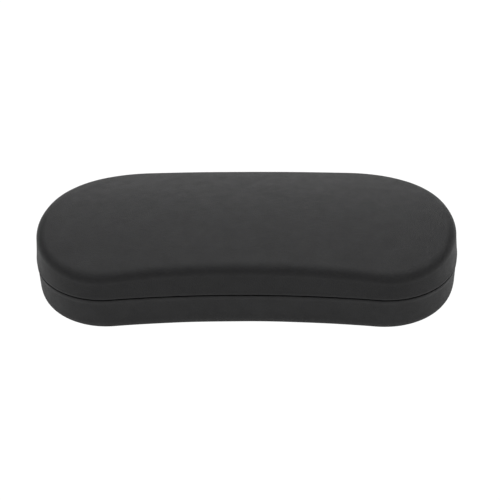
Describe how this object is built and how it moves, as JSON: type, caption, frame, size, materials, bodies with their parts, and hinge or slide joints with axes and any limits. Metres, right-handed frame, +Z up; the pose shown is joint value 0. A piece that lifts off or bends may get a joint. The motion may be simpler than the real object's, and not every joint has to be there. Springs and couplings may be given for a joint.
{
  "type": "eyeglasses case",
  "caption": "Hard clamshell eyeglasses case, kidney-shaped in plan, leatherette over steel, with a snap hinge along the straight back edge.",
  "frame": {"origin": "middle of the footprint on the surface the case stands on", "axes": "+X along the length, +Y towards the hinge at the back, +Z up; the concave front edge faces -Y"},
  "size_m": [0.16, 0.074, 0.0316],
  "materials": {
    "leatherette": "matt fine grain, coated cloth",
    "tinplate": "plain pressed sheet",
    "foam_sheet": "soft foam sheet",
    "flocked_tray": "flocked, short pile",
    "black_steel": "black oxide",
    "bright_steel": "bright, oiled",
    "rivet_steel": "nickel plated"
  },
  "bodies": {
    "base": {"base_cover": "leatherette", "base_shell": "tinplate", "base_pad": "foam_sheet", "base_liner": "flocked_tray", "base_hinge_leaf": "black_steel", "hinge_pin": "bright_steel", "snap_spring": "bright_steel", "base_rivet_1": "rivet_steel", "base_rivet_2": "rivet_steel", "base_rivet_3": "rivet_steel", "base_rivet_4": "rivet_steel"},
    "lid": {"lid_cover": "leatherette", "lid_shell": "tinplate", "lid_pad": "foam_sheet", "lid_liner": "flocked_tray", "lid_hinge_leaf": "black_steel", "lid_rivet_1": "rivet_steel", "lid_rivet_2": "rivet_steel", "lid_rivet_3": "rivet_steel", "lid_rivet_4": "rivet_steel"}
  },
  "joints": [
    {"name": "lid_hinge", "type": "hinge", "parent": "base", "child": "lid", "pos_m": [0, 0.03525, 0.0153], "axis": [-1, 0, 0], "range_deg": [0, 100]}
  ]
}
